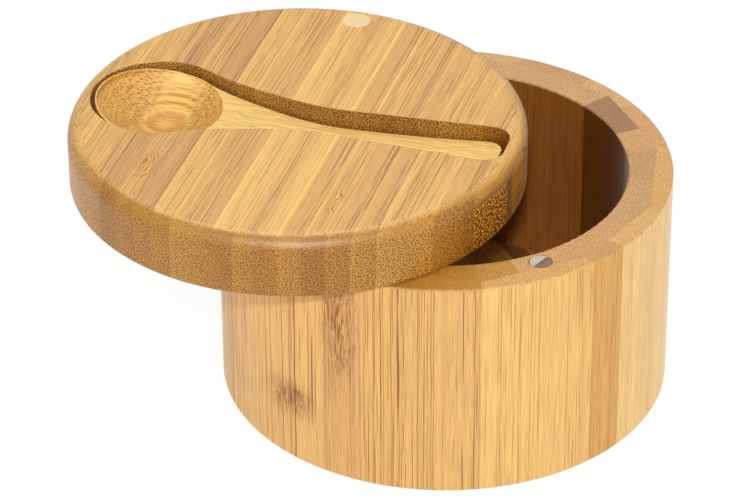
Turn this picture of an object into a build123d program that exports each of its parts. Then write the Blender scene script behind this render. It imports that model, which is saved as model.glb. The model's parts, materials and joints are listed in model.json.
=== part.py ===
from build123d import *
from math import asin, atan2, cos, degrees, hypot, radians, sin
import os

os.makedirs("parts", exist_ok=True)

# A round bamboo salt box. The thick turned wall carries a flat lid that swivels on one upright
# screw at the back, and two disc magnets at the front catch it when it is closed. A small spoon
# lies in a pocket routed into the lid's top. Millimetres, +Z up. The origin is the centre of the
# underside, the magnets are at -Y and the screw is at +Y. The lid stands part open.

# ---- Box ----
box_diameter = 127.0
box_height = 66.0
wall_thickness = 12.5
rim_edge_radius = 0.6
foot_edge_radius = 0.5
floor_thickness = 9.0
floor_ledge = 3.0
floor_edge_chamfer = 0.4

# ---- Lid, turned flush with the box ----
lid_thickness = 17.8
lid_top_radius = 4.6
lid_bottom_radius = 0.8
lid_gap = 0.2
lid_open_angle = 43.5

# ---- Swivel screw, the plug that hides it, and the catch magnets ----
shoulder_diameter = 5.0
shoulder_clearance = 0.05
head_height = 2.6
head_side_gap = 0.3
head_play = 0.1
socket_width = 3.0
socket_depth = 1.4
shank_diameter = 4.0
shank_length = 20.0
shank_tip = 1.2
plug_diameter = 8.0
plug_thickness = 4.0
magnet_diameter = 6.35
magnet_thickness = 3.0
magnet_edge = 0.25
magnet_recess = 0.1
magnet_glue_gap = 0.12
magnet_land = 1.0

# ---- Spoon, and how it lies in its pocket. Lengths run from the bowl's centre to the handle ----
pocket_depth = 10.0
pocket_edge_radius = 0.3
pocket_end_land = 4.25
pocket_turn = 1.2
spoon_side_gap = 1.1
spoon_end_gap = 2.3
seat_gap = 0.04
bowl_diameter = 36.2
bowl_hollow_depth = 6.2
bowl_bottom = 1.3
bowl_band = 1.5
bowl_land = 0.65
bowl_lip = 0.35
bowl_tip_rise = 1.3
bowl_tip_run = 24.0
neck_angle = 60.0
neck_length = 26.0
neck_width = 18.9
neck_thickness = 4.8
waist_length = 52.0
waist_width = 10.8
handle_bend_gap = 1.9
handle_rise = 5.3
handle_end_width = 15.9
handle_end_radius = 4.6
handle_end_thickness = 6.0
handle_back_radius = 11.0
back_sections = 24
spoon_edge_radius = 0.25
spoon_back_edge_radius = 1.2

# ---- Sizes that follow from the ones above ----
box_radius = box_diameter / 2
bore_radius = box_radius - wall_thickness
lid_radius = box_radius
magnet_hole_radius = magnet_diameter / 2 + magnet_glue_gap
pivot_radius = bore_radius + magnet_land + magnet_hole_radius
head_radius = plug_diameter / 2 - head_side_gap
lid_bottom = box_height + lid_gap
lid_top = lid_bottom + lid_thickness
bowl_radius = bowl_diameter / 2
bowl_depth = bowl_hollow_depth + bowl_bottom
handle_bend = bowl_radius + handle_bend_gap
pocket_length = 2 * (lid_radius - pocket_end_land)
spoon_length = pocket_length - spoon_side_gap - spoon_end_gap
handle_end = spoon_length - bowl_radius
bowl_x = bowl_radius + spoon_side_gap - pocket_length / 2

# Limits that sort faces by the way they look: mostly up or down, or upright within a hair
mostly = 0.5
tiny = 0.01


def on_circle(radius, angle):
    """Point on a circle round the origin, angle in degrees from +X."""
    return Vector(radius * cos(radians(angle)), radius * sin(radians(angle)))


def cap_radius(half_width, depth):
    """Radius of the ball whose cap is this wide and this deep."""
    return (half_width**2 + depth**2) / (2 * depth)


def cylinder(radius, bottom, top, x=0, y=0):
    """Upright cylinder between two heights."""
    return Pos(x, y, bottom) * Cylinder(radius, top - bottom, align=(Align.CENTER, Align.CENTER, Align.MIN))


# ---- Box: a ring turned from laminated bamboo, with a disc glued into a rebate under it ----
def make_box_wall():
    ring = cylinder(box_radius, 0, box_height) - cylinder(bore_radius, 0, box_height)
    ring = fillet(ring.edges().group_by(Axis.Z)[-1], rim_edge_radius)
    ring = fillet(ring.edges().group_by(Axis.Z)[0].sort_by(SortBy.RADIUS)[-1], foot_edge_radius)
    rebate = cylinder(bore_radius + floor_ledge, 0, floor_thickness)
    screw_hole = cylinder(shank_diameter / 2, box_height - shank_length, box_height, y=pivot_radius)
    magnet_floor = box_height - magnet_recess - magnet_thickness
    magnet_hole = cylinder(magnet_hole_radius, magnet_floor, box_height, y=-pivot_radius)
    return ring - rebate - screw_hole - magnet_hole


def make_box_floor():
    disc = cylinder(bore_radius + floor_ledge, 0, floor_thickness)
    return chamfer(disc.edges().group_by(Axis.Z)[0], floor_edge_chamfer)


# ---- Swivel screw: it stands in the wall and the lid turns on its plain shoulder ----
def make_swivel_screw():
    head_bottom = lid_top - plug_thickness - head_play - head_height
    head_top = head_bottom + head_height
    shank_end = box_height - shank_length
    profile = Polyline(
        (0, shank_end),
        (shank_diameter / 2 - shank_tip, shank_end),
        (shank_diameter / 2, shank_end + shank_tip),
        (shank_diameter / 2, box_height),
        (shoulder_diameter / 2, box_height),
        (shoulder_diameter / 2, head_bottom),
        (head_radius, head_bottom),
        (head_radius, head_top),
        (0, head_top),
        (0, shank_end),
    )
    screw = revolve(Plane.XZ * make_face(profile), Axis.Z)
    socket = extrude(RegularPolygon(socket_width / 2, 6, major_radius=False), socket_depth)
    return Pos(0, pivot_radius) * (screw - Pos(0, 0, head_top - socket_depth) * socket)


# ---- Catch: one disc magnet in the rim, one in the lid, face to face when the lid is closed ----
def make_magnet(bottom):
    disc = cylinder(magnet_diameter / 2, bottom, bottom + magnet_thickness, y=-pivot_radius)
    return fillet(disc.edges(), magnet_edge)


# ---- Spoon: one carved piece of bamboo, modelled level with its bowl rim at zero height ----
def spoon_plan(grow, end_grow):
    """Outline seen from above, moved out by grow all round and by end_grow at the handle's end."""
    radius = bowl_radius + grow
    waist = waist_width / 2 + grow
    end = handle_end_width / 2 + grow
    tip = handle_end + end_grow
    shoulder = on_circle(radius, neck_angle)
    neck_curve = Spline(
        shoulder,
        (neck_length, neck_width / 2 + grow),
        (waist_length, waist),
        tangents=[on_circle(1, neck_angle - 90), Vector(tip - waist_length, end - waist)],
    )
    flank = Line(neck_curve @ 1, (tip, end))
    bowl_arc = ThreePointArc(shoulder, (-radius, 0), on_circle(radius, -neck_angle))
    tip_line = Line(flank @ 1, (tip, -end))
    near_side = [mirror(edge, about=Plane.XZ) for edge in (neck_curve, flank)]
    outline = make_face([bowl_arc, neck_curve, flank, tip_line] + near_side)
    corners = outline.vertices().group_by(Axis.X)[-1]
    return fillet(corners, handle_end_radius + grow)


def handle_top(x):
    """Height of the spoon's top: level over the bowl, then a long arc that lifts the handle."""
    run = max(x - handle_bend, 0)
    arc_radius = cap_radius(handle_end - handle_bend, handle_rise)
    return arc_radius - (arc_radius**2 - run**2) ** 0.5


def spoon_back():
    """Rounded underside: a ball under the bowl, then round sections that slim down along the handle."""
    ball = cap_radius(bowl_radius, bowl_depth - bowl_band)
    neck_depth = neck_thickness - handle_top(neck_length)
    end_depth = handle_end_thickness - handle_rise
    half_way = bowl_radius / 2
    back_line = Spline(
        (0, -bowl_depth),
        (half_way, ball - bowl_depth - (ball**2 - half_way**2) ** 0.5),
        (neck_length, -neck_depth),
        (handle_end, -end_depth),
        tangents=[(1, 0), (handle_end - neck_length, neck_depth - end_depth)],
    )
    sections = []
    for step in range(back_sections + 1):
        point = back_line @ (step / back_sections)
        share = min(point.X / waist_length, 1)
        slim = share * share * (3 - 2 * share)
        radius = ball + (handle_back_radius - ball) * slim
        sections.append(Plane((point.X, 0, point.Y + radius), (0, 1, 0), (1, 0, 0)) * Circle(radius))
    dome = split(Pos(0, 0, ball - bowl_depth) * Sphere(ball), Plane.YZ, keep=Keep.BOTTOM)
    return dome + loft(sections)


def patch_edges(faces):
    """Edges round a patch of faces, without the edges inside the patch."""
    edges = [edge for face in faces for edge in face.edges()]
    return [edge for edge in edges if sum(edge.is_same(other) for other in edges) == 1]


def make_spoon():
    reach = bowl_depth + handle_rise
    tip_arc = TangentArc((bowl_tip_run - bowl_radius, 0), (-bowl_radius, bowl_tip_rise), tangent=(-1, 0))
    handle_arc = TangentArc((handle_bend, 0), (handle_end, handle_rise), tangent=(1, 0))
    side_outline = [
        Line((-bowl_radius, -reach), tip_arc @ 1),
        tip_arc,
        Line(tip_arc @ 0, handle_arc @ 0),
        handle_arc,
        Line(handle_arc @ 1, (handle_end, -reach)),
        Line((handle_end, -reach), (-bowl_radius, -reach)),
    ]
    side = extrude(Plane.XZ * make_face(side_outline), bowl_diameter, both=True)
    plan = Pos(0, 0, -reach) * extrude(spoon_plan(0, 0), 2 * reach)
    blank = plan & side & spoon_back()
    back_faces = [face for face in blank.faces() if face.normal_at().Z < -mostly]
    blank = fillet(patch_edges(back_faces), spoon_back_edge_radius)
    hollow_radius = bowl_radius - bowl_land
    ball = cap_radius(hollow_radius, bowl_hollow_depth - bowl_lip)
    below_lip = Plane.XY.offset(-bowl_lip)
    hollow = split(Pos(0, 0, ball - bowl_hollow_depth) * Sphere(ball), below_lip, keep=Keep.BOTTOM)
    spoon = blank - hollow - cylinder(hollow_radius, -bowl_lip, bowl_tip_rise)
    top_faces = [f for f in spoon.faces() if f.normal_at().Z > mostly and f.geom_type != GeomType.SPHERE]
    return fillet(patch_edges(top_faces), spoon_edge_radius)


def spoon_tilt():
    """Lean of the spoon when it rests on the back of its bowl and the end of its handle."""
    ball = cap_radius(bowl_radius, bowl_depth - bowl_band)
    drop = ball - bowl_depth + handle_end_thickness - handle_rise
    return degrees(asin(ball / hypot(handle_end, drop)) - atan2(drop, handle_end))


def across_lid(height):
    """Place of the bowl's centre at this height, with the handle a little askew across the lid."""
    return Rot(0, 0, pocket_turn) * Pos(bowl_x, 0, height)


def seat_spoon(spoon):
    """Lays the spoon on the floor of its pocket in the closed lid."""
    ball = cap_radius(bowl_radius, bowl_depth - bowl_band)
    lowest = (ball - bowl_depth) * cos(radians(spoon_tilt())) - ball
    return across_lid(lid_top - pocket_depth + seat_gap - lowest) * Rot(0, spoon_tilt(), 0) * spoon


# ---- Lid: a flat disc of laminated bamboo with the spoon's pocket routed into its top ----
def make_lid_blank():
    disc = cylinder(lid_radius, lid_bottom, lid_top)
    disc = fillet(disc.edges().group_by(Axis.Z)[-1], lid_top_radius)
    return fillet(disc.edges().group_by(Axis.Z)[0], lid_bottom_radius)


def is_pocket_wall(face):
    upright = abs(face.normal_at().Z) < tiny
    return upright and face.bounding_box().min.Z > lid_bottom + lid_bottom_radius + tiny


def cut_pocket(disc):
    """Routs the spoon's pocket and eases its mouth."""
    pocket_floor = lid_top - pocket_depth
    pocket = extrude(spoon_plan(spoon_side_gap, spoon_end_gap), pocket_depth)
    lid = disc - across_lid(pocket_floor) * pocket
    walls = lid.faces().filter_by(is_pocket_wall)
    mouth = [edge for edge in patch_edges(walls) if edge.center().Z > pocket_floor + pocket_depth / 2]
    return fillet(mouth, pocket_edge_radius)


def make_lid():
    seat_depth = plug_thickness + head_height + 2 * head_play
    head_seat = cylinder(plug_diameter / 2, lid_top - seat_depth, lid_top, y=pivot_radius)
    shoulder_hole = cylinder(shoulder_diameter / 2 + shoulder_clearance, lid_bottom, lid_top, y=pivot_radius)
    magnet_ceiling = lid_bottom + magnet_recess + magnet_thickness
    magnet_hole = cylinder(magnet_hole_radius, lid_bottom, magnet_ceiling, y=-pivot_radius)
    return cut_pocket(make_lid_blank()) - head_seat - shoulder_hole - magnet_hole


def make_screw_plug():
    plug = cylinder(plug_diameter / 2, lid_top - plug_thickness, lid_top, y=pivot_radius)
    return plug & make_lid_blank()


# ---- Assembly: the lid and all that it carries are made closed, then swung open on the screw ----
def swing_open(piece):
    return Pos(0, pivot_radius) * Rot(0, 0, -lid_open_angle) * Pos(0, -pivot_radius) * piece


nodes = {
    "box_wall": make_box_wall(),
    "box_floor": make_box_floor(),
    "swivel_screw": make_swivel_screw(),
    "rim_magnet": make_magnet(box_height - magnet_recess - magnet_thickness),
    "lid": swing_open(make_lid()),
    "screw_plug": swing_open(make_screw_plug()),
    "lid_magnet": swing_open(make_magnet(lid_bottom + magnet_recess)),
    "spoon": swing_open(seat_spoon(make_spoon())),
}
for name, solid in nodes.items():
    export_step(solid, f"parts/{name}.step")
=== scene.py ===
import json
from math import cos, pi, radians, sin
import bpy
from mathutils import Matrix, Vector


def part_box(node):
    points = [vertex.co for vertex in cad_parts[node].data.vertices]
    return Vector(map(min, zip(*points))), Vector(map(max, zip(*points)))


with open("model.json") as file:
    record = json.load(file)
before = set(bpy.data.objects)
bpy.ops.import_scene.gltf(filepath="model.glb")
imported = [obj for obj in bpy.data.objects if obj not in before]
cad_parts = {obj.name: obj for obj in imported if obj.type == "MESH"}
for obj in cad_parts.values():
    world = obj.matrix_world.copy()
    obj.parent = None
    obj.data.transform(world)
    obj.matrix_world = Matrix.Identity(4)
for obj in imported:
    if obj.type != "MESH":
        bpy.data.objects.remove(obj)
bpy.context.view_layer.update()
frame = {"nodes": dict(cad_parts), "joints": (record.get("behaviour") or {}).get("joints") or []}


# ---- Box wall --------------------------------------------------------------------------------
# Twelve staves of laminated bamboo glued into a ring, then turned round inside and out. The
# fibres stand upright: the rim shows their cut ends as dots, and the wall shows them as lines.

def paint(code):
    """An sRGB hex colour as linear red, green, blue and full alpha."""
    channels = [int(code[place:place + 2], 16) / 255 for place in (1, 3, 5)]
    linear = [c / 12.92 if c <= 0.04045 else ((c + 0.055) / 1.055) ** 2.4 for c in channels]
    return (*linear, 1.0)


def add(tree, kind, feeds=(), out=0, **settings):
    """Adds a node with its settings, feeds its inputs by name or number, and returns one output.

    Input 0 of a Map Range is taken from the range 1 to 2 into the range 3 to 4. Input 0 of a Mix is
    the share that goes from 2 to 3 with numbers, from 4 to 5 with places, from 6 to 7 with colours.
    """
    made = tree.nodes.new(kind if kind.startswith("NodeGroup") else "ShaderNode" + kind)
    for name, value in settings.items():
        setattr(made, name, value)
    for key, value in feeds.items() if isinstance(feeds, dict) else enumerate(feeds):
        if isinstance(value, bpy.types.NodeSocket):
            tree.links.new(value, made.inputs[key])
        else:
            made.inputs[key].default_value = value
    return made if out is None else made.outputs[out]


def new_material(name):
    """A material with one Principled shader, its node tree, and that shader."""
    material = bpy.data.materials.new(name)
    material.use_nodes = True
    tree = material.node_tree
    tree.nodes.clear()
    shader = add(tree, "BsdfPrincipled", out=None)
    add(tree, "OutputMaterial", {"Surface": shader.outputs[0]}, out=None)
    return material, tree, shader


def dress(node, material):
    """Gives a CAD node its material."""
    piece = frame["nodes"][node]
    piece.data.materials.clear()
    piece.data.materials.append(material)


def board_ramp(tree, place, picks, tones):
    """One tone for each board, in the order they were glued. Alpha tells how strongly its lines show."""
    ramp = add(tree, "ValToRGB", {0: place}, out=None)
    stops = ramp.color_ramp
    stops.interpolation = "CONSTANT"
    for number, pick in enumerate(picks):
        stop = stops.elements[0] if number == 0 else stops.elements.new(number / len(picks))
        stop.position = number / len(picks)
        code, lines = (tones[pick], 1.0) if isinstance(tones[pick], str) else tones[pick]
        stop.color = (*paint(code)[:3], lines)
    stops.elements.remove(stops.elements[len(picks)])
    return ramp


# Bamboo's own structure, shared by every bamboo piece: dark fibre bundles about half a millimetre
# apart that wander slightly as they run, in soft tissue with streaks, bands and tones of its own.
# Places are in millimetres with z along the fibres, and each pattern is given as how often it
# repeats in one. The real streaks are finer than 0.4 mm and are drawn as coarse as that to show.
wanders_per_mm = (0.3, 0.3, 0.04)
streaks_per_mm = (2.6, 2.6, 0.09)
bands_per_mm = (0.55, 0.55, 0.006)
tones_per_mm = (0.14, 0.14, 0.012)
bundle_scatter = 0.8

# How far a bundle reaches from its middle, as a share of the gap to the next, and its soft edge
least_bundle = 0.17
bundle_growth = 0.2
edge_inside = -0.08
edge_outside = 0.07

grain = bpy.data.node_groups.new("bamboo_grain", "ShaderNodeTree")
for name, kind in (("Place", "Vector"), ("Gap", "Float"), ("Fullness", "Float"), ("Wander", "Float"),
                   ("Evenness", "Float")):
    grain.interface.new_socket(name, in_out="INPUT", socket_type="NodeSocket" + kind)
for name in ("Bundle", "Streak", "Band", "Tone"):
    grain.interface.new_socket(name, in_out="OUTPUT", socket_type="NodeSocketFloat")
given = add(grain, "NodeGroupInput", out=None).outputs
wander = add(grain, "VectorMath", {0: given["Place"], 1: wanders_per_mm}, operation="MULTIPLY")
wander = add(grain, "TexNoise", {"Vector": wander, "Scale": 1.0, "Detail": 1.0}, out="Color")
wander = add(grain, "VectorMath", {0: wander, 1: (0.5, 0.5, 0.5)}, operation="SUBTRACT")
wander = add(grain, "VectorMath", {0: wander, "Scale": given["Wander"]}, operation="SCALE")
across = add(grain, "VectorMath", {0: given["Place"], 1: wander}, operation="ADD")
per_mm = add(grain, "Math", (1.0, given["Gap"]), operation="DIVIDE")
cells = add(grain, "TexVoronoi", {"Vector": across, "Scale": per_mm, "Randomness": bundle_scatter},
            out=None, voronoi_dimensions="2D").outputs
size = add(grain, "Math", (given["Fullness"], bundle_growth, least_bundle), operation="MULTIPLY_ADD")
outside = add(grain, "Math", (cells["Distance"], size), operation="SUBTRACT")
bundle = add(grain, "MapRange", {0: outside, 1: edge_inside, 2: edge_outside, 3: 1.0, 4: 0.0},
             interpolation_type="SMOOTHSTEP")
cell_tone = add(grain, "SeparateColor", {0: cells["Color"]})
cell_depth = add(grain, "MapRange", {0: cell_tone, 3: given["Evenness"], 4: 1.0})
bundle = add(grain, "Math", (bundle, cell_depth), operation="MULTIPLY")
streak = add(grain, "VectorMath", {0: given["Place"], 1: streaks_per_mm}, operation="MULTIPLY")
streak = add(grain, "TexNoise", {"Vector": streak, "Scale": 1.0, "Detail": 3.0, "Roughness": 0.7})
band = add(grain, "VectorMath", {0: given["Place"], 1: bands_per_mm}, operation="MULTIPLY")
band = add(grain, "TexNoise", {"Vector": band, "Scale": 1.0, "Detail": 1.0})
tone = add(grain, "VectorMath", {0: given["Place"], 1: tones_per_mm}, operation="MULTIPLY")
tone = add(grain, "TexNoise", {"Vector": tone, "Scale": 1.0, "Detail": 2.0})
add(grain, "NodeGroupOutput", {"Bundle": bundle, "Streak": streak, "Band": band, "Tone": tone}, out=None)

# Noise keeps near its middle, so what it drives is stretched from the spread it really has
close_spread = {1: 0.3, 2: 0.7}
fair_spread = {1: 0.25, 2: 0.75}
wide_spread = {1: 0.2, 2: 0.8}
tone_low = 0.96
tone_high = 1.04

# The slight relief of the grain, whose height is in metres, and the gloss of the oil on it
grain_relief = 0.00005
relief_strength = 0.3
oil_specular = 0.45
sheen_roughness = 0.3


def bamboo(tree, shader, place, base, lines, end_on, look):
    """Colours a shader as bamboo: a base with streaks, and dark bundles, deeper where ends are cut."""
    cut = add(tree, "Math", (end_on, 0.5), operation="GREATER_THAN")
    gap = add(tree, "Mix", {0: cut, 2: look["gap"], 3: look["dot_gap"]})
    fullness = add(tree, "Mix", {0: cut, 2: look["fullness"], 3: look["dot_fullness"]})
    evenness = add(tree, "Mix", {0: cut, 2: look["evenness"], 3: look["dot_evenness"]})
    fibres = {"Place": place, "Gap": gap, "Fullness": fullness, "Wander": look["wander"],
              "Evenness": evenness}
    bundle, streak, band, tone = add(tree, "Group", fibres, out=None, node_tree=grain).outputs
    streaky = add(tree, "MapRange", {
        0: streak, **close_spread, 3: look["streak_low"], 4: look["streak_high"],
    })
    banded = add(tree, "MapRange", {0: band, **close_spread, 3: look["band_low"], 4: look["band_high"]})
    toned = add(tree, "MapRange", {0: tone, **fair_spread, 3: tone_low, 4: tone_high})
    value = add(tree, "Math", (streaky, banded), operation="MULTIPLY")
    value = add(tree, "Math", (value, toned), operation="MULTIPLY")

    end_mean = paint(look["end_mean"]) if isinstance(look["end_mean"], str) else look["end_mean"]
    end_base = add(tree, "Mix", {0: look["end_even"], 6: base, 7: end_mean}, out=2, data_type="RGBA")
    end_tint, bundle_tint = (paint(tint)[:3] if isinstance(tint, str) else tint
                             for tint in (look["end_tint"], look["bundle_tint"]))
    end_base = add(tree, "VectorMath", {0: end_base, 1: end_tint}, operation="MULTIPLY")
    colour = add(tree, "Mix", {0: end_on, 6: base, 7: end_base}, out=2, data_type="RGBA")
    colour = add(tree, "VectorMath", {0: colour, "Scale": value}, operation="SCALE")

    depth = add(tree, "Mix", {0: end_on, 2: look["line_depth"], 3: look["dot_depth"]})
    strength = add(tree, "Mix", {0: end_on, 2: lines, 3: 1.0})
    depth = add(tree, "Math", (depth, strength), operation="MULTIPLY")

    # Coarse cane is drawn the other way round, with pale pith in each cell and brown between them
    between = add(tree, "Math", (1.0, bundle), operation="SUBTRACT")
    bundle = add(tree, "Mix", {0: look["coarse"], 2: bundle, 3: between})
    darkness = add(tree, "Math", (bundle, depth), operation="MULTIPLY", use_clamp=True)
    bundle_colour = add(tree, "VectorMath", {0: colour, 1: bundle_tint}, operation="MULTIPLY")
    colour = add(tree, "Mix", {0: darkness, 6: colour, 7: bundle_colour}, out=2, data_type="RGBA")
    tree.links.new(colour, shader.inputs["Base Color"])

    rough = add(tree, "MapRange", {0: streak, **wide_spread, 3: look["rough_low"], 4: look["rough_high"]})
    tree.links.new(rough, shader.inputs["Roughness"])
    height = add(tree, "Math", (bundle, -1.0, streak), operation="MULTIPLY_ADD")
    relief = {"Strength": relief_strength, "Distance": grain_relief, "Height": height}
    tree.links.new(add(tree, "Bump", relief), shader.inputs["Normal"])
    shader.inputs["Specular IOR Level"].default_value = oil_specular
    shader.inputs["Sheen Weight"].default_value = look["sheen"]
    shader.inputs["Sheen Roughness"].default_value = sheen_roughness


def shifted(tree, look, share, changes):
    """A look with some of its values going over to others as the share goes from 0 to 1."""
    look = dict(look)
    for name, value in changes.items():
        if name.endswith("tint"):
            now, then = (paint(tint) if isinstance(tint, str) else tint for tint in (look[name], value))
            look[name] = add(tree, "Mix", {0: share, 6: now, 7: then}, out=2, data_type="RGBA")
        else:
            look[name] = add(tree, "Mix", {0: share, 2: look[name], 3: value})
    return look


def end_share(tree, along, low=0.14, high=0.5):
    """How squarely the surface cuts the fibres: 1 where their ends show, 0 along them."""
    normal = add(tree, "TexCoord", out="Normal")
    facing = add(tree, "VectorMath", {0: normal, 1: along}, out="Value", operation="DOT_PRODUCT")
    facing = add(tree, "Math", (facing,), operation="ABSOLUTE")
    return add(tree, "MapRange", {0: facing, 1: low, 2: high}, interpolation_type="SMOOTHSTEP")


def spot(tree, place, centre, turn, reach):
    """1 at a point on the surface, falling to 0 at an ellipse round it, in millimetres."""
    ellipse = {"Location": centre, "Rotation": (0, 0, turn), "Scale": reach}
    away = add(tree, "Mapping", {"Vector": place, **ellipse}, vector_type="TEXTURE")
    away = add(tree, "VectorMath", {0: away}, out="Value", operation="LENGTH")
    return add(tree, "MapRange", {0: away, 1: 1.0, 2: 0.0}, interpolation_type="SMOOTHSTEP")


# How rubbed and oiled bamboo looks: its lines along the fibres, its dots where they are cut, the
# spread of its tissue's tones, and its gloss. A gap is in millimetres from bundle to bundle, and
# evenness is how dark the faintest bundle is beside the darkest.
oiled = {
    "gap": 0.55, "fullness": 0.32, "evenness": 0.4, "wander": 0.7, "line_depth": 1.1, "coarse": 0.0,
    "dot_gap": 0.66, "dot_fullness": 0.45, "dot_evenness": 0.65, "dot_depth": 0.5,
    "streak_low": 0.84, "streak_high": 1.12, "band_low": 0.95, "band_high": 1.05,
    "bundle_tint": "#AE8050", "end_tint": "#F6F0E8", "end_mean": "#E2B06C", "end_even": 0.35,
    "edge_tint": "#F0E8DC", "rough_low": 0.42, "rough_high": 0.55, "sheen": 0.12,
}

# The tones of the wall's boards by letter, each with how strongly its lines show, of their cut ends,
# and of the bore, whose browns are painted shade. The picks give the boards in order round the ring.
wall_tones = {
    "p": ("#F0C478", 0.25), "l": ("#E8B86B", 0.7), "h": ("#E4B268", 1.2), "m": ("#E6B566", 1.0),
    "d": ("#DEAC62", 1.4), "s": ("#DDAB64", 1.2), "a": ("#D9A250", 0.6), "t": ("#DAA562", 0.6),
}
rim_tones_and_painted_shade = {
    "a": "#C58D32", "b": "#CA943D", "u": "#C89452", "n": "#E1AF65", "v": "#D1A462", "i": "#E4B870",
    "w": "#D2A66A", "x": "#D7A666", "y": "#CB9F64", "c": "#A5784B", "r": "#CD9E64", "o": "#DDB06F",
}
bore_painted_shade_tones = {"l": "#C4883A", "m": "#A66828", "t": "#905719", "n": "#7A4308"}
outer_picks = "lmapplhltlphalhtlphlhtds"
# The last two ends of both lists, a, on the front-left boards, are amber: painted shade of the lid on the
# rim
outer_ends_with_painted_shade = "nnvinnxooronnxonvnioxnaa"
middle_ends_with_painted_shade = "bxxwwyxcwwxwxwywxwuwxwaa"
bore_painted_shade_picks = "mmmmmmnnmmtttlnmlmtmlmtm"

# Each stave has three layers of two boards: an outer one, a middle one, and what the turning has
# left of an inner one. The joints say how far from the stave's middle two boards meet.
stave_count = 12
stave_turn = radians(360 / stave_count)
first_stave = radians(-93.5)
bore_radius = 51.0
inner_board = 52.1
outer_board = 58.1
outer_joints = (9.2, -5.3, 3.0, 8.0, -6.0, 2.0, -8.0, 6.0, -3.0, 7.0, 5.1, 5.5)
middle_joints = (-4.0, 6.0, -2.0, -4.3, 4.0, -7.0, 3.0, -2.0, 8.0, -5.0, -6.0, -2.0)
joint_span = 40.0
stop_lead = 0.2
board_starts = (31.7, 57.3, 83.1)
in_mm = (1000, 1000, 1000)

# Bamboo turned with its fibres upright, then rubbed with oil. It looks straw yellow, each board in
# a tone of its own under fine brown lines, with a soft gloss, and a glossier bore painted brown as shade.
wall, tree, shader = new_material("bamboo_turned_upright")
wall_place = add(tree, "Mapping", {"Vector": add(tree, "TexCoord", out="Object"), "Scale": in_mm})
flat = add(tree, "SeparateXYZ", {0: wall_place}, out=None).outputs
turn = add(tree, "Math", (flat[1], flat[0]), operation="ARCTAN2")
turn = add(tree, "Math", (turn, first_stave), operation="SUBTRACT")
turn = add(tree, "Math", (turn, stave_turn), operation="DIVIDE")
stave = add(tree, "Math", (turn,), operation="ROUND")
facing = add(tree, "Math", (stave, -stave_turn, -first_stave), operation="MULTIPLY_ADD")
in_stave = add(tree, "VectorRotate", {"Vector": wall_place, "Angle": facing}, rotation_type="Z_AXIS")
local = add(tree, "SeparateXYZ", {0: in_stave}, out=None).outputs
stave = add(tree, "Math", (stave, float(stave_count)), operation="FLOORED_MODULO")

# A ramp keeps the joints, the outer one as its red and the middle one as its green. Its stops lead
# the staves' numbers a little, so that rounding can't put a stave before its own stop.
joint_place = add(tree, "Math", (stave, float(stave_count)), operation="DIVIDE")
joint_ramp = add(tree, "ValToRGB", {0: joint_place}, out=None)
joint_ramp.color_ramp.interpolation = "CONSTANT"
joint_stops = joint_ramp.color_ramp.elements
for number, (outer, middle) in enumerate(zip(outer_joints, middle_joints)):
    stop = joint_stops[0] if number == 0 else joint_stops.new((number - stop_lead) / stave_count)
    stop.color = (outer / joint_span + 0.5, middle / joint_span + 0.5, 0, 1)
joint_stops.remove(joint_stops[len(outer_joints)])
joint_levels = add(tree, "SeparateColor", {0: joint_ramp.outputs[0]}, out=None).outputs
is_outer = add(tree, "Math", (local[0], outer_board), operation="GREATER_THAN")
is_inner = add(tree, "Math", (local[0], inner_board), operation="LESS_THAN")
joint_at = add(tree, "Mix", {0: is_outer, 2: joint_levels[1], 3: joint_levels[0]})
joint_at = add(tree, "MapRange", {0: joint_at, 3: -joint_span / 2, 4: joint_span / 2})
side = add(tree, "Math", (local[1], joint_at), operation="GREATER_THAN")
board = add(tree, "Math", (stave, 2.0, side), operation="MULTIPLY_ADD")
board_place = add(tree, "Math", (board, 0.5), operation="ADD")
board_place = add(tree, "Math", (board_place, 2.0 * stave_count), operation="DIVIDE")
base, lines = board_ramp(tree, board_place, outer_picks, wall_tones).outputs
outer_end = board_ramp(tree, board_place, outer_ends_with_painted_shade, rim_tones_and_painted_shade).outputs[0]
middle_end = board_ramp(tree, board_place, middle_ends_with_painted_shade, rim_tones_and_painted_shade).outputs[0]
board_end = add(tree, "Mix", {0: is_outer, 6: middle_end, 7: outer_end}, out=2, data_type="RGBA")

# The bore's boards are painted darker and browner, some more than others, as shade inside the box
bore_painted_shade = board_ramp(tree, board_place, bore_painted_shade_picks, bore_painted_shade_tones).outputs[0]
to_axis = add(tree, "VectorMath", {0: wall_place, 1: (1, 1, 0)}, operation="MULTIPLY")
to_axis = add(tree, "VectorMath", {0: to_axis}, out="Value", operation="LENGTH")
in_bore = add(tree, "MapRange", {0: to_axis, 1: bore_radius + 0.5, 2: bore_radius + 0.1})
base = add(tree, "Mix", {0: in_bore, 6: base, 7: bore_painted_shade}, out=2, data_type="RGBA")

# Two nodes of the cane: the lower is a smoky patch and its halo over a row of pores, and the upper
# has pores of its own, with dark flecks down from it. Their patterns are given per millimetre.
wall_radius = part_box("box_wall")[1].x * 1000
smudges_per_mm = (0.9, 0.9, 0.25)
pores_per_mm = (0.9, 0.9, 0.55)
flecks_per_mm = (2.4, 2.4, 0.22)
smudge_spread = {1: 0.38, 2: 0.6}
fleck_spread = {1: 0.47, 2: 0.56}
pore_edge = {1: 0.34, 2: 0.2}
pore_area_edge = {1: 0.15, 2: 0.5}
halo_depth = 0.25
smoke_tint = "#AC9064"


def wall_spot(bearing, height, reach):
    """A spot on the wall, by its bearing in degrees, its height, and its reach in, round and up."""
    turn = radians(bearing)
    centre = (wall_radius * cos(turn), wall_radius * sin(turn), height)
    return spot(tree, wall_place, centre, turn, reach)


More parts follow.
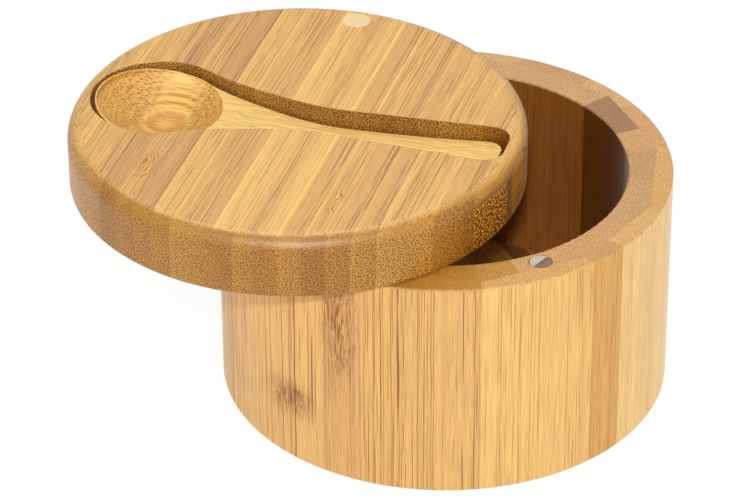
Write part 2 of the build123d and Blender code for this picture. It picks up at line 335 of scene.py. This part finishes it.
smoke = wall_spot(-158.0, 21.5, (12.0, 10.0, 6.3))
halo = wall_spot(-160.0, 19.0, (12.0, 14.0, 9.0))
pore_row = wall_spot(-160.0, 18.3, (12.0, 11.0, 3.4))
upper = wall_spot(-144.6, 57.5, (9.0, 8.2, 6.6))
fleck_run = wall_spot(-144.6, 50.0, (9.0, 8.8, 34.0))
smudge = add(tree, "VectorMath", {0: in_stave, 1: smudges_per_mm}, operation="MULTIPLY")
smudge = add(tree, "TexNoise", {"Vector": smudge, "Scale": 1.0, "Detail": 4.0, "Roughness": 0.6})
smudge = add(tree, "MapRange", {0: smudge, **smudge_spread})
smoky = add(tree, "Math", (smoke, smudge), operation="MULTIPLY")
fleck_area = add(tree, "Math", (fleck_run, halo), operation="MAXIMUM")
smoky = add(tree, "Math", (fleck_area, halo_depth, smoky), operation="MULTIPLY_ADD")
flecks = add(tree, "VectorMath", {0: in_stave, 1: flecks_per_mm}, operation="MULTIPLY")
flecks = add(tree, "TexNoise", {"Vector": flecks, "Scale": 1.0, "Detail": 1.0})
flecks = add(tree, "MapRange", {0: flecks, **fleck_spread})
flecks = add(tree, "Math", (flecks, fleck_area), operation="MULTIPLY")
smoky = add(tree, "Math", (smoky, flecks), operation="MAXIMUM")
pores = add(tree, "VectorMath", {0: in_stave, 1: pores_per_mm}, operation="MULTIPLY")
pores = add(tree, "TexVoronoi", {"Vector": pores, "Scale": 1.0}, out="Distance")
pores = add(tree, "MapRange", {0: pores, **pore_edge})
pore_area = add(tree, "Math", (pore_row, upper), operation="MAXIMUM")
pore_area = add(tree, "MapRange", {0: pore_area, **pore_area_edge})
pores = add(tree, "Math", (pores, pore_area), operation="MULTIPLY")
smoky = add(tree, "Math", (smoky, pores), operation="MAXIMUM", use_clamp=True)
smoky_base = add(tree, "VectorMath", {0: base, 1: paint(smoke_tint)[:3]}, operation="MULTIPLY")
base = add(tree, "Mix", {0: smoky, 6: base, 7: smoky_base}, out=2, data_type="RGBA")

# Each board starts elsewhere in the grain, so that no two look alike
shift = add(tree, "CombineXYZ", (board, is_outer, is_inner))
shift = add(tree, "VectorMath", {0: shift, 1: board_starts}, operation="MULTIPLY")
place = add(tree, "VectorMath", {0: in_stave, 1: shift}, operation="ADD")
wall_look = {
    **oiled, "gap": 0.62, "fullness": 0.3, "evenness": 0.35, "wander": 0.6, "line_depth": 0.9,
    "dot_depth": 0.7, "streak_low": 0.8, "streak_high": 1.16, "bundle_tint": "#B07A40",
    "end_tint": "#FFFFFF", "end_mean": board_end, "end_even": 1.0,
}
wall_look = shifted(tree, wall_look, in_bore, {"rough_low": 0.28, "rough_high": 0.36})
bamboo(tree, shader, place, base, lines, end_share(tree, (0, 0, 1)), wall_look)
dress("box_wall", wall)


# ---- Box floor -------------------------------------------------------------------------------
# A disc cut from a board of bamboo strips laid side by side, glued into a rebate under the wall.
# Its fibres lie level, so its faces show lines, and only its glued edge has dots.

strip_width = 6.0
turned_share = 0.35
strip_starts = (17.3, 9.1)
fullest_skin = 0.6
faded_dots = 0.4


def strips(tree, place, first, picks, tones):
    """Bamboo strips on edge, glued side by side from the first one's edge, with fibres along y.

    Gives each strip's place in the picks, how far through it is from the cane's pith side to its
    skin side, the base colour, the strength of the lines, and the place in the fibres.
    """
    split = add(tree, "SeparateXYZ", {0: place}, out=None).outputs
    number = add(tree, "Math", (split[0], first), operation="SUBTRACT")
    number = add(tree, "Math", (number, strip_width), operation="DIVIDE")
    through = add(tree, "Math", (number,), operation="FRACT")
    number = add(tree, "Math", (number,), operation="FLOOR")
    strip_at = add(tree, "Math", (number, 0.5), operation="ADD")
    strip_at = add(tree, "Math", (strip_at, float(len(picks))), operation="DIVIDE")
    tone, lines = board_ramp(tree, strip_at, picks, tones).outputs

    # About one strip in three is glued the other way round. The pith side is paler than the skin
    kept = add(tree, "TexWhiteNoise", {"W": number}, noise_dimensions="1D")
    kept = add(tree, "Math", (kept, turned_share), operation="GREATER_THAN")
    turned = add(tree, "Math", (1.0, through), operation="SUBTRACT")
    through = add(tree, "Mix", {0: kept, 2: turned, 3: through})
    skin = add(tree, "MapRange", {0: through, 3: 1.04, 4: 0.96})
    pith_edge = add(tree, "MapRange", {0: through, 1: 0.07, 2: 0.16, 3: 1.1, 4: 1.0})
    skin = add(tree, "Math", (skin, pith_edge), operation="MULTIPLY")
    base = add(tree, "VectorMath", {0: tone, "Scale": skin}, operation="SCALE")
    x = add(tree, "Math", (number, strip_starts[0], split[0]), operation="MULTIPLY_ADD")
    z = add(tree, "Math", (number, strip_starts[1], split[2]), operation="MULTIPLY_ADD")
    return strip_at, through, base, lines, add(tree, "CombineXYZ", (x, z, split[1]))


def sand_edges(tree, base, look):
    """Tints a board's sanded edges, where oil sinks in deeper, and fades the dots where it is flatter.

    Gives the base and the look so changed, how far the surface is an edge, and how level it lies.
    """
    level = add(tree, "SeparateXYZ", {0: add(tree, "TexCoord", out="Normal")}, out=2)
    level = add(tree, "Math", (level,), operation="ABSOLUTE")
    edge = add(tree, "MapRange", {0: level, 1: 0.95, 2: 0.5}, interpolation_type="SMOOTHSTEP")
    tint = paint(look["edge_tint"])[:3] if isinstance(look["edge_tint"], str) else look["edge_tint"]
    edge_base = add(tree, "VectorMath", {0: base, 1: tint}, operation="MULTIPLY")
    base = add(tree, "Mix", {0: edge, 6: base, 7: edge_base}, out=2, data_type="RGBA")
    dots = {0: level, 1: 0.2, 2: 0.7, 3: look["dot_depth"], 4: look["dot_depth"] * faded_dots}
    return base, {**look, "dot_depth": add(tree, "MapRange", dots)}, edge, level


first_floor_strip = -72.0
floor_picks = "lhltlhtlhlhltlhlhltlhlhl"
floor_painted_shade_tones = {"l": ("#9C6624", 0.6), "h": ("#8C5820", 0.9), "t": ("#764818", 1.0)}

# Bamboo board, sanded and oiled. Its tones are painted dark brown as the shade under the bore, with
# faint lines all one way that grow stronger towards each strip's skin side.
floor_board, tree, shader = new_material("bamboo_board_sanded")
place = add(tree, "Mapping", {"Vector": add(tree, "TexCoord", out="Object"), "Scale": in_mm})
strip_at, through, base, lines, fibres = strips(tree, place, first_floor_strip, floor_picks, floor_painted_shade_tones)
floor_look = {**oiled, "fullness": add(tree, "MapRange", {0: through, 3: 0.0, 4: fullest_skin})}
base, floor_look, edge, level = sand_edges(tree, base, floor_look)
bamboo(tree, shader, fibres, base, lines, end_share(tree, (0, 1, 0)), floor_look)
dress("box_floor", floor_board)


# ---- Swivel screw ----------------------------------------------------------------------------
# A turned steel shoulder screw, driven into the wall. The lid turns on its plain shoulder.

turning_marks_per_m = (800, 800, 9000)

# Bright turned steel. It looks mid grey, with turning marks a ninth of a millimetre apart round it
# that break its shine up.
steel, tree, shader = new_material("steel_turned_bright")
place = add(tree, "Mapping", {"Vector": add(tree, "TexCoord", out="Object"), "Scale": turning_marks_per_m})
marks = add(tree, "TexNoise", {"Vector": place, "Scale": 1.0, "Detail": 2.0})
grey = add(tree, "MapRange", {0: marks, 3: 0.45, 4: 0.6})
tree.links.new(add(tree, "CombineColor", (grey, grey, grey)), shader.inputs["Base Color"])
tree.links.new(add(tree, "MapRange", {0: marks, 3: 0.25, 4: 0.4}), shader.inputs["Roughness"])
shader.inputs["Metallic"].default_value = 1.0
dress("swivel_screw", steel)


# ---- Catch magnets ---------------------------------------------------------------------------
# Two nickel-plated discs, one glued into the rim and one into the lid's underside. They meet when
# the lid is shut, and hold it there.

rub_marks_per_m = (400, 3000, 400)

# Nickel plating. It looks like a slightly warm mirror, with faint rubbing marks a third of a
# millimetre apart where the two discs slide over each other.
nickel, tree, shader = new_material("nickel_plated")
place = add(tree, "Mapping", {"Vector": add(tree, "TexCoord", out="Object"), "Scale": rub_marks_per_m})
rubbed = add(tree, "TexNoise", {"Vector": place, "Scale": 1.0, "Detail": 3.0})
tree.links.new(add(tree, "MapRange", {0: rubbed, 3: 0.02, 4: 0.05}), shader.inputs["Roughness"])
shader.inputs["Base Color"].default_value = paint("#C9BEAC")
shader.inputs["Metallic"].default_value = 1.0
dress("rim_magnet", nickel)
dress("lid_magnet", nickel)


# ---- Lid -------------------------------------------------------------------------------------
# A disc of bamboo strips on edge, six millimetres each, glued side by side and turned. The strips
# run from the screw to the magnet: the top shows lines, the front edge shows cut ends.

# The lid stands part open, and its patterns are placed as on a lid that is shut
swivel = next(joint for joint in frame["joints"] if joint["name"] == "lid_swivel")
pivot = Vector(swivel["pos_m"]) * 1000
open_by = radians(swivel["range_deg"][0])
shut = Matrix.Rotation(-open_by, 3, "Z")
to_shut = {"Scale": in_mm, "Rotation": (0, 0, -open_by), "Location": pivot - shut @ pivot}
lid_along = shut.inverted() @ Vector((0, 1, 0))

# The tones of the lid's strips and of their cut ends, picked from left to right on the shut lid
first_lid_strip = -64.0
lid_picks = "mmmtbtbmmtlmltmttmmtml"
# The three left strips' ends take the palest gold, g: painted light on the lid's left edge
lid_end_picks_with_painted_light = "gggldmmmlmdmdmodmlldod"
lid_tones = {
    "l": ("#EABB66", 0.7), "m": ("#E2B05F", 0.8), "t": ("#DBA75B", 0.9), "b": ("#CC9A55", 0.8),
}
lid_end_tones_and_painted_light = {"g": "#EDB86A", "l": "#E4AF64", "m": "#D9A454", "d": "#CF974A", "o": "#C48C3C"}

# Strips of bamboo, turned, sanded and oiled. They look honey gold under fine brown lines, each in
# its own tone, with brown dots where their ends are cut and a low, even gloss.
lid, tree, shader = new_material("bamboo_strips_oiled")
place = add(tree, "Mapping", {"Vector": add(tree, "TexCoord", out="Object"), **to_shut})
strip_at, through, base, lines, fibres = strips(tree, place, first_lid_strip, lid_picks, lid_tones)
across, along, up = add(tree, "SeparateXYZ", {0: place}, out=None).outputs
end_drift = add(tree, "MapRange", {0: through, 3: 1.07, 4: 0.93})
end_tone = board_ramp(tree, strip_at, lid_end_picks_with_painted_light, lid_end_tones_and_painted_light).outputs[0]
lid_look = {
    **oiled, "gap": 0.44, "evenness": 0.15, "line_depth": 1.25, "streak_high": 1.14,
    "dot_gap": 0.64, "dot_fullness": 0.55, "dot_evenness": 0.7, "dot_depth": 1.15,
    "edge_tint": "#E6D6BC", "bundle_tint": "#987036", "end_tint": "#D6CA98", "end_even": 1.0,
    "rough_low": 0.36, "rough_high": 0.48, "sheen": 0.05,
    "fullness": add(tree, "MapRange", {0: through, 3: 0.0, 4: fullest_skin}),
    "end_mean": add(tree, "VectorMath", {0: end_tone, "Scale": end_drift}, operation="SCALE"),
}

# The spoon's pocket is cut inside this reach of the middle
pocket_reach = 60.5
from_middle = add(tree, "VectorMath", {0: place, 1: (1, 1, 0)}, operation="MULTIPLY")
from_middle = add(tree, "VectorMath", {0: from_middle}, out="Value", operation="LENGTH")
pocket = add(tree, "Math", (from_middle, pocket_reach), operation="LESS_THAN")
# Its walls' ends get fuller, closer dots, which darken them: finer end grain and painted shade
pocket_dots_and_painted_shade = {"dot_fullness": 1.0, "dot_gap": 0.58, "end_even": 0.6, "end_tint": "#E0E1CB"}
lid_look = shifted(tree, lid_look, pocket, pocket_dots_and_painted_shade)

# Right strips' edges and ends are tinted darker, yellower: their own cane, and painted shade on that side
# The last strip's edge is yellowest
far_from = 39.8
far_to = 58.8
coarse_from = 57.8
coarse_to = 63.0
coarse_near = -6.0
far = add(tree, "MapRange", {0: across, 1: far_from, 2: far_to})
last = add(tree, "MapRange", {0: across, 1: coarse_to - 0.4, 2: coarse_to + 0.2})
lid_look = shifted(tree, lid_look, far, {"edge_tint": "#C8A840", "end_tint": "#D4C462"})
lid_look = shifted(tree, lid_look, last, {"edge_tint": "#C6A004"})
base, lid_look, edge, level = sand_edges(tree, base, lid_look)
lid_look = shifted(tree, lid_look, edge, {"bundle_tint": "#8C5E22"})

# At a knot brown threads wind along the strip, and the tissue round them is lighter. Each knot has
# its place on the lid's top and its reach, across the strips and along them.
lid_knots = (((-31.0, -36.5), (4.6, 12.0)), ((22.75, -39.0), (3.8, 9.5)), ((4.6, 52.0), (3.2, 6.5)))
lid_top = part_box("lid")[1].z * 1000
knot_depth = 8.0
threads_per_mm = 1.3
thread_bends_per_mm = (0.3, 0.1, 0.1)
thread_wander = 9.0
thread_edge = {1: 0.08, 2: 0.24}
thread_tint = "#BF9A74"
amber_tint = (1.07, 1.03, 0.9)
knot = 0.0
for centre, reach in lid_knots:
    one_knot = spot(tree, place, (*centre, lid_top), 0.0, (*reach, knot_depth))
    knot = add(tree, "Math", (knot, one_knot), operation="MAXIMUM")
bend = add(tree, "VectorMath", {0: place, 1: thread_bends_per_mm}, operation="MULTIPLY")
bend = add(tree, "TexNoise", {"Vector": bend, "Scale": 1.0, "Detail": 1.5})
bend = add(tree, "Math", (bend, thread_wander), operation="MULTIPLY")
threads = add(tree, "Math", (across, threads_per_mm, bend), operation="MULTIPLY_ADD")
threads = add(tree, "Math", (threads,), operation="FRACT")
threads = add(tree, "Math", (threads, 0.5), operation="SUBTRACT")
threads = add(tree, "Math", (threads,), operation="ABSOLUTE")
threads = add(tree, "MapRange", {0: threads, **thread_edge, 3: 1.0, 4: 0.0})
near_knot = add(tree, "MapRange", {0: knot, 1: 0.1, 2: 0.6})
threads = add(tree, "Math", (threads, near_knot), operation="MULTIPLY")
amber = add(tree, "VectorMath", {0: base, 1: amber_tint}, operation="MULTIPLY")
base = add(tree, "Mix", {0: knot, 6: base, 7: amber}, out=2, data_type="RGBA")
thread_base = add(tree, "VectorMath", {0: base, 1: paint(thread_tint)[:3]}, operation="MULTIPLY")
base = add(tree, "Mix", {0: threads, 6: base, 7: thread_base}, out=2, data_type="RGBA")
clear = add(tree, "Math", (1.0, knot), operation="SUBTRACT")
lines = add(tree, "Math", (lines, clear), operation="MULTIPLY")

# Round the right edge the bundles stand wider apart and show strongly
far_edge = add(tree, "Math", (far, edge), operation="MULTIPLY")
lid_look = shifted(tree, lid_look, far_edge, {"bundle_tint": "#946A2C", "gap": 0.9, "fullness": 0.3})
lines = add(tree, "Mix", {0: far_edge, 2: lines, 3: 1.6})

# The near end of the last strip is coarse, with gold pith between brown bundles, which follow its
# round edge. Gold pith is brighter than the tone that it tints, so it is over 1.
gold_pith = (1.45, 1.5, 0.5, 1.0)
coarse = add(tree, "Math", (across, coarse_from), operation="GREATER_THAN")
near_end = add(tree, "Math", (along, coarse_near), operation="LESS_THAN")
coarse = add(tree, "Math", (coarse, near_end), operation="MULTIPLY")
before_last = add(tree, "Math", (1.0, last), operation="SUBTRACT")
coarse = add(tree, "Math", (coarse, before_last), operation="MULTIPLY")
in_coarse = {"end_tint": gold_pith, "dot_gap": 0.85, "dot_fullness": 0.9, "dot_evenness": 0.8}
lid_look = shifted(tree, lid_look, coarse, in_coarse)
steep = add(tree, "MapRange", {0: level, 1: 0.5, 2: 0.1})
coarse_edge = add(tree, "Math", (coarse, steep), operation="MULTIPLY")
lid_look = shifted(tree, lid_look, coarse_edge, {"bundle_tint": "#7E5620", "coarse": 1.0})
round_edge = add(tree, "Math", (along, across), operation="ARCTAN2")
round_edge = add(tree, "Math", (round_edge, wall_radius), operation="MULTIPLY")
round_edge = add(tree, "CombineXYZ", (round_edge, up, 0.0))
fibres = add(tree, "Mix", {0: coarse_edge, 4: fibres, 5: round_edge}, out=1, data_type="VECTOR")
end_on = add(tree, "Math", (end_share(tree, lid_along), coarse_edge), operation="MAXIMUM")
bamboo(tree, shader, fibres, base, lines, end_on, lid_look)
dress("lid", lid)


# ---- Screw plug ------------------------------------------------------------------------------
# A pale hardwood dowel, glued into the lid over the screw and sanded flush.

birch_grain_per_mm = (3.0, 0.5, 3.0)

# Sanded birch. It looks creamy and plain, without lines, and only its pores break its pale tone.
birch, tree, shader = new_material("birch_dowel_sanded")
place = add(tree, "Mapping", {"Vector": add(tree, "TexCoord", out="Object"), **to_shut})
pores = add(tree, "VectorMath", {0: place, 1: birch_grain_per_mm}, operation="MULTIPLY")
pores = add(tree, "TexNoise", {"Vector": pores, "Scale": 1.0, "Detail": 3.0})
colour = add(tree, "Mix", {0: pores, 6: paint("#EAC88C"), 7: paint("#F8DFAC")}, out=2, data_type="RGBA")
tree.links.new(colour, shader.inputs["Base Color"])
tree.links.new(add(tree, "MapRange", {0: pores, 3: 0.5, 4: 0.62}), shader.inputs["Roughness"])
dress("screw_plug", birch)


# ---- Spoon -----------------------------------------------------------------------------------
# One piece of bamboo, carved and sanded. Its fibres run the length of the handle, so the bowl's
# slopes cut through them and show dots, and the handle shows fine lines.

bowl_centre = (-38.9, -0.8, lid_top)
bowl_reach = (19.0, 19.0, 60.0)
layers_per_mm = (0.16, 1.0, 0.03)
flame_width = 1.05
flame_wobble = 5.0
flame_start = 1.6
spoon_across = shut.inverted() @ Vector((1, 0, 0))

# Bamboo, carved and sanded smooth. The handle looks pale gold and plain, and the bowl shows light
# and dark flames, where its slopes cut through the cane's layers about a millimetre apart.
spoon, tree, shader = new_material("bamboo_carved_smooth")
place = add(tree, "Mapping", {"Vector": add(tree, "TexCoord", out="Object"), **to_shut})
split = add(tree, "SeparateXYZ", {0: place}, out=None).outputs
fibres = add(tree, "CombineXYZ", (split[1], split[2], split[0]))
in_bowl = spot(tree, place, bowl_centre, 0.0, bowl_reach)
in_bowl = add(tree, "MapRange", {0: in_bowl, 1: 0.02, 2: 0.3})
layers = add(tree, "VectorMath", {0: fibres, 1: layers_per_mm}, operation="MULTIPLY")
layers = add(tree, "TexNoise", {"Vector": layers, "Scale": 1.0, "Detail": 2.0})
wobble = add(tree, "Math", (layers, flame_wobble, flame_start), operation="MULTIPLY_ADD")
flame = add(tree, "Math", (split[2], 2 * pi / flame_width, wobble), operation="MULTIPLY_ADD")
flame = add(tree, "Math", (flame,), operation="SINE")
flame = add(tree, "MapRange", {0: flame, 1: -0.9, 2: 0.9})
bowl_base = add(tree, "Mix", {0: flame, 6: paint("#D89A40"), 7: paint("#F4C85F")}, out=2, data_type="RGBA")
handle_base = add(tree, "Mix", {0: layers, 6: paint("#F0C068"), 7: paint("#FCDA85")}, out=2,
                  data_type="RGBA")
base = add(tree, "Mix", {0: in_bowl, 6: handle_base, 7: bowl_base}, out=2, data_type="RGBA")
spoon_lines = 0.8
spoon_look = {
    **oiled, "gap": 0.6, "line_depth": 0.8, "wander": 1.2,
    "dot_gap": 0.75, "dot_fullness": 0.35, "dot_evenness": 0.6, "dot_depth": 1.05,
    "end_tint": "#EBDFB6", "end_mean": "#EAB96C", "end_even": 0.6, "sheen": 0.0,
}
end_on = end_share(tree, spoon_across, low=0.06, high=0.34)
bamboo(tree, shader, fibres, base, spoon_lines, end_on, spoon_look)
dress("spoon", spoon)


# ---- Studio ----------------------------------------------------------------------------------
# A plain white floor in an even white room, and soft lamps: one high behind the box, weaker ones
# over it and low at both sides, a small one in front, and a strip that only reflections show.

# The floor lies a tenth of a millimetre under the box, so that the two faces don't share a plane
floor_half = 3.0
floor_drop = 0.0001
floor_corners = [(-floor_half, -floor_half, 0), (floor_half, -floor_half, 0),
                 (floor_half, floor_half, 0), (-floor_half, floor_half, 0)]
floor_mesh = bpy.data.meshes.new("floor")
floor_mesh.from_pydata(floor_corners, [], [(0, 1, 2, 3)])
floor = bpy.data.objects.new("floor", floor_mesh)
bpy.context.scene.collection.objects.link(floor)
floor.location.z = -floor_drop


def looked_at(tree):
    """1 where a surface is seen, straight on or in a mirror or through glass, 0 where it gives light."""
    rays = add(tree, "LightPath", out=None).outputs
    seen = add(tree, "Math", (rays["Is Camera Ray"], rays["Is Glossy Ray"]), operation="MAXIMUM")
    return add(tree, "Math", (seen, rays["Is Transmission Ray"]), operation="MAXIMUM")


# Matt white card that glows. Where it is looked at it is nearly all glow, so that it looks white
# and still keeps the box's shadow.
white = bpy.data.materials.new("white_sweep")
white.use_nodes = True
tree = white.node_tree
tree.nodes.clear()
seen = looked_at(tree)
share = add(tree, "MapRange", {0: seen, 3: 0.6, 4: 0.87})
strength = add(tree, "MapRange", {0: seen, 3: 1.34, 4: 1.05})
matt = add(tree, "BsdfDiffuse", {"Color": paint("#F2F2F0")})
glow = add(tree, "Emission", {"Color": (1, 1, 1, 1), "Strength": strength})
add(tree, "OutputMaterial", {0: add(tree, "MixShader", (share, matt, glow))}, out=None)
floor_mesh.materials.append(white)

# The room looks white and gives only dim light, so that the lamps shape the box
world = bpy.data.worlds.new("studio")
bpy.context.scene.world = world
world.use_nodes = True
tree = world.node_tree
tree.nodes.clear()
strength = add(tree, "MapRange", {0: looked_at(tree), 3: 0.25, 4: 1.0})
room = add(tree, "Background", {"Color": (1, 1, 1, 1), "Strength": strength})
add(tree, "OutputWorld", {0: room}, out=None)

lamp_aim = Vector((0, 0, 0.05))
lamp_away = 1.2


def lamp(name, turn, height, width, depth, power):
    """A soft lamp: its bearing and height in degrees, its width and depth in metres, and its watts."""
    data = bpy.data.lights.new(name, "AREA")
    data.shape = "RECTANGLE"
    data.size = width
    data.size_y = depth
    data.energy = power
    made = bpy.data.objects.new(name, data)
    level = lamp_away * cos(radians(height))
    above = lamp_away * sin(radians(height))
    to_lamp = Vector((level * cos(radians(turn)), level * sin(radians(turn)), above))
    made.location = lamp_aim + to_lamp
    made.rotation_euler = (-to_lamp).to_track_quat("-Z", "Y").to_euler()
    bpy.context.scene.collection.objects.link(made)
    return made


lamp("overhead", 0, 90, 0.9, 0.9, 1.9)
lamp("back_high", 62, 65, 0.8, 0.8, 4.6)
lamp("left_low", -165, 25, 0.8, 0.8, 1.15)
lamp("right_low", -52, 15, 0.8, 0.8, 1.7)
lamp("front_small", -118, 37, 0.06, 0.06, 7.0)
strip_light = lamp("strip_light", -118, 50, 0.8, 0.08, 10.0)
strip_light.visible_diffuse = False

camera_turn = radians(-26.47)
camera_tilt = radians(33.11)
camera_roll = radians(-0.276)
camera_distance = 1.0936
camera_aim = Vector((-0.01763, 0.00878, 0.03762))
ahead = Vector((-sin(camera_turn), cos(camera_turn), 0)) * cos(camera_tilt)
forward = ahead - Vector((0, 0, sin(camera_tilt)))
facing = forward.to_track_quat("-Z", "Y").to_matrix() @ Matrix.Rotation(camera_roll, 3, "Z")
camera = bpy.data.objects.new("camera", bpy.data.cameras.new("camera"))
camera.data.lens = 185.69
camera.data.sensor_width = 36
camera.data.clip_start = 0.05
camera.location = camera_aim - forward * camera_distance
camera.rotation_euler = facing.to_euler()
bpy.context.scene.collection.objects.link(camera)
bpy.context.scene.camera = camera
bpy.context.scene.view_settings.view_transform = "Standard"

# A card over the box, which only reflections see: it stands where the magnet's face mirrors it to
# the camera, so that the card's edge crosses the magnet along a line
line_turn = radians(24.7)
card_away = 1.05
card_half = 0.05
card_trim = 0.0004
low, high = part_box("rim_magnet")
magnet_face = Vector(((low.x + high.x) / 2, (low.y + high.y) / 2, high.z))
mirrored = Vector((camera.location.x, camera.location.y, 2 * magnet_face.z - camera.location.z))
line = Vector((cos(line_turn), sin(line_turn), 0))
dark_side = Vector((sin(line_turn), -cos(line_turn), 0))
corners = [magnet_face + line * along + dark_side * side
           for side in (0, card_trim, card_half) for along in (-card_half, card_half)]
corners = [mirrored + (corner - mirrored) * card_away for corner in corners]
card_mesh = bpy.data.meshes.new("reflection_card")
card_mesh.from_pydata(corners, [], [(0, 1, 3, 2), (2, 3, 5, 4)])
card = bpy.data.objects.new("reflection_card", card_mesh)
bpy.context.scene.collection.objects.link(card)
card.visible_camera = False
card.visible_diffuse = False
card.visible_shadow = False

# Plain card that glows by itself: a warm grey, which tones the magnet down, and a dark line at its
# edge, which draws a thin dark line across it
for number, (name, code) in enumerate((("dark_trim", "#5C4C40"), ("grey_card", "#B8A292"))):
    card_paint = bpy.data.materials.new(name)
    card_paint.use_nodes = True
    tree = card_paint.node_tree
    tree.nodes.clear()
    add(tree, "OutputMaterial", {0: add(tree, "Emission", {"Color": paint(code)})}, out=None)
    card_mesh.materials.append(card_paint)
    card_mesh.polygons[number].material_index = number
